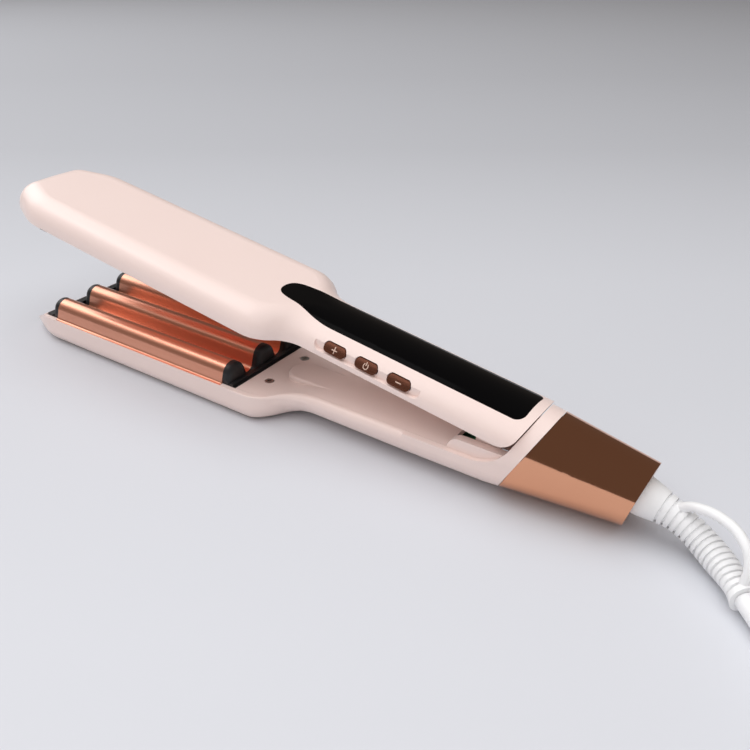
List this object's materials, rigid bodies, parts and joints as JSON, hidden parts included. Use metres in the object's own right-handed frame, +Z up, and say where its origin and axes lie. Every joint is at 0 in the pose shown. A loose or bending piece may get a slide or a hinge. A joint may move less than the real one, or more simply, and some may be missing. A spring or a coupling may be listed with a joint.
{
  "type": "hair waver",
  "caption": "Hand-held hair waver: two hinged arms with meshing wave plates, a screen with pill buttons on the upper arm and a mains cord on a swivel.",
  "frame": {"origin": "centre of the footprint on the table, under the iron, at the underside of the lower head; the free cord isn't counted", "axes": "+X along the lower arm towards the cord, +Y across the arms away from the buttons, +Z up from the table"},
  "size_m": [0.4347, 0.0786, 0.069],
  "materials": {
    "pink_shell": "satin, pale blush pink",
    "wave_plate": "satin, rose-gold ceramic coating",
    "black_frame": "fine moulded black",
    "copper_cap": "polished copper plating",
    "screen": "glossy black",
    "button": "dark copper brown",
    "steel": "zinc plated",
    "heater": "ribbed aluminium over the heating element",
    "sensor": "metal-cased bead",
    "mica": "mica sheet",
    "board": "printed board with its components",
    "display": "segment display module",
    "white_rubber": "satin white",
    "white_cord": "satin white",
    "white_plug": "satin white",
    "plug_pin": "nickel plated"
  },
  "bodies": {
    "lower_arm": {"lower_shell": "pink_shell", "lower_cover": "pink_shell", "lower_screws": "steel", "lower_plate_frame": "black_frame", "lower_wave_plate": "wave_plate", "lower_mica_sheet": "mica", "lower_heater": "heater", "lower_sensor": "sensor", "power_board": "board", "hinge_pin": "steel", "torsion_spring": "steel", "end_cap": "copper_cap"},
    "upper_arm": {"upper_shell": "pink_shell", "upper_cover": "pink_shell", "upper_screws": "steel", "upper_plate_frame": "black_frame", "upper_wave_plate": "wave_plate", "upper_mica_sheet": "mica", "upper_heater": "heater", "upper_sensor": "sensor", "screen_lens": "screen", "display_module": "display", "control_board": "board", "button_board": "board", "tact_switches": "black_frame"},
    "plus_key": {"button_plus": "button"},
    "power_key": {"button_power": "button"},
    "minus_key": {"button_minus": "button"},
    "cord_swivel_body": {"swivel_hub": "white_plug", "strain_relief": "white_rubber", "mains_cord": "white_cord", "cord_hank": "white_cord", "cord_tail": "white_cord", "plug_body": "white_plug", "plug_pins": "plug_pin"}
  },
  "joints": [
    {"name": "arm_hinge", "type": "hinge", "parent": "lower_arm", "child": "upper_arm", "pos_m": [0.0915, 0, 0.0172], "axis": [0, -1, 0], "range_deg": [0, 8.7], "stiffness_Nm_per_rad": 0.55, "springref_deg": -57.3},
    {"name": "plus_press", "type": "slide", "parent": "upper_arm", "child": "plus_key", "axis": [0, 1, 0], "range_m": [0, 0.0006], "stiffness_N_per_m": 800, "springref_m": -0.0005},
    {"name": "power_press", "type": "slide", "parent": "upper_arm", "child": "power_key", "axis": [0, 1, 0], "range_m": [0, 0.0006], "stiffness_N_per_m": 800, "springref_m": -0.0005},
    {"name": "minus_press", "type": "slide", "parent": "upper_arm", "child": "minus_key", "axis": [0, 1, 0], "range_m": [0, 0.0006], "stiffness_N_per_m": 800, "springref_m": -0.0005},
    {"name": "cord_swivel", "type": "hinge", "parent": "lower_arm", "child": "cord_swivel_body", "pos_m": [0.14118, 0, 0.0139], "axis": [0.9632, 0, -0.2689], "continuous": true}
  ]
}
